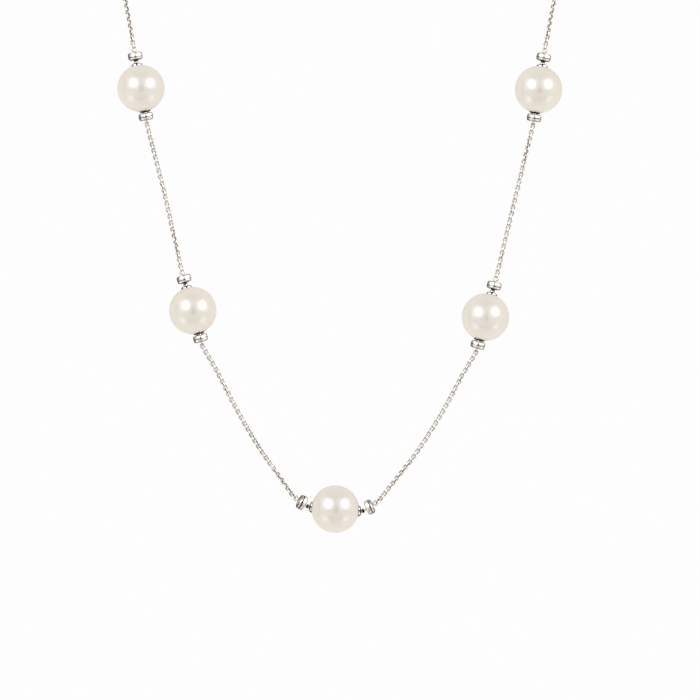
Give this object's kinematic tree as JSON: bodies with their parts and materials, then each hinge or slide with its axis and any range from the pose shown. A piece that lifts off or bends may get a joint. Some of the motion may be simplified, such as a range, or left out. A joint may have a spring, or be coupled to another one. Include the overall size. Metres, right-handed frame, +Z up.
{
  "type": "station necklace",
  "caption": "Fine cable chain necklace in its worn form, with drilled faux pearls held between plain rondelles and flared tubes, joined by eye pins, and a ring clasp at the nape.",
  "frame": {"origin": "where the loop hangs at the nape, in the middle of the clasp's ring", "axes": "+Z is up, -Y is towards the front of the wearer, +X is to the right as seen from the front"},
  "size_m": [0.0962, 0.1007, 0.1704],
  "materials": {
    "pearl": "cream pearl lacquer with a soft lustre",
    "bright_silver": "polished, slightly warm silver",
    "soft_silver": "polished wire, slightly warm silver"
  },
  "bodies": {
    "root": {"pearl_1": "pearl", "pearl_2": "pearl", "pearl_3": "pearl", "pearl_4": "pearl", "pearl_5": "pearl", "flared_tube_1": "bright_silver", "flared_tube_2": "bright_silver", "flared_tube_3": "bright_silver", "flared_tube_4": "bright_silver", "flared_tube_5": "bright_silver", "eye_pin_1": "soft_silver", "eye_pin_2": "soft_silver", "eye_pin_3": "soft_silver", "eye_pin_4": "soft_silver", "eye_pin_5": "soft_silver", "rondelle_1": "bright_silver", "rondelle_2": "bright_silver", "rondelle_3": "bright_silver", "rondelle_4": "bright_silver", "rondelle_5": "bright_silver", "rondelle_6": "bright_silver", "rondelle_7": "bright_silver", "rondelle_8": "bright_silver", "rondelle_9": "bright_silver", "rondelle_10": "bright_silver", "chain_1": "soft_silver", "chain_2": "soft_silver", "chain_3": "soft_silver", "chain_4": "soft_silver", "chain_5": "soft_silver", "chain_6": "soft_silver", "clasp": "bright_silver", "end_ring": "bright_silver"}
  },
  "joints": []
}
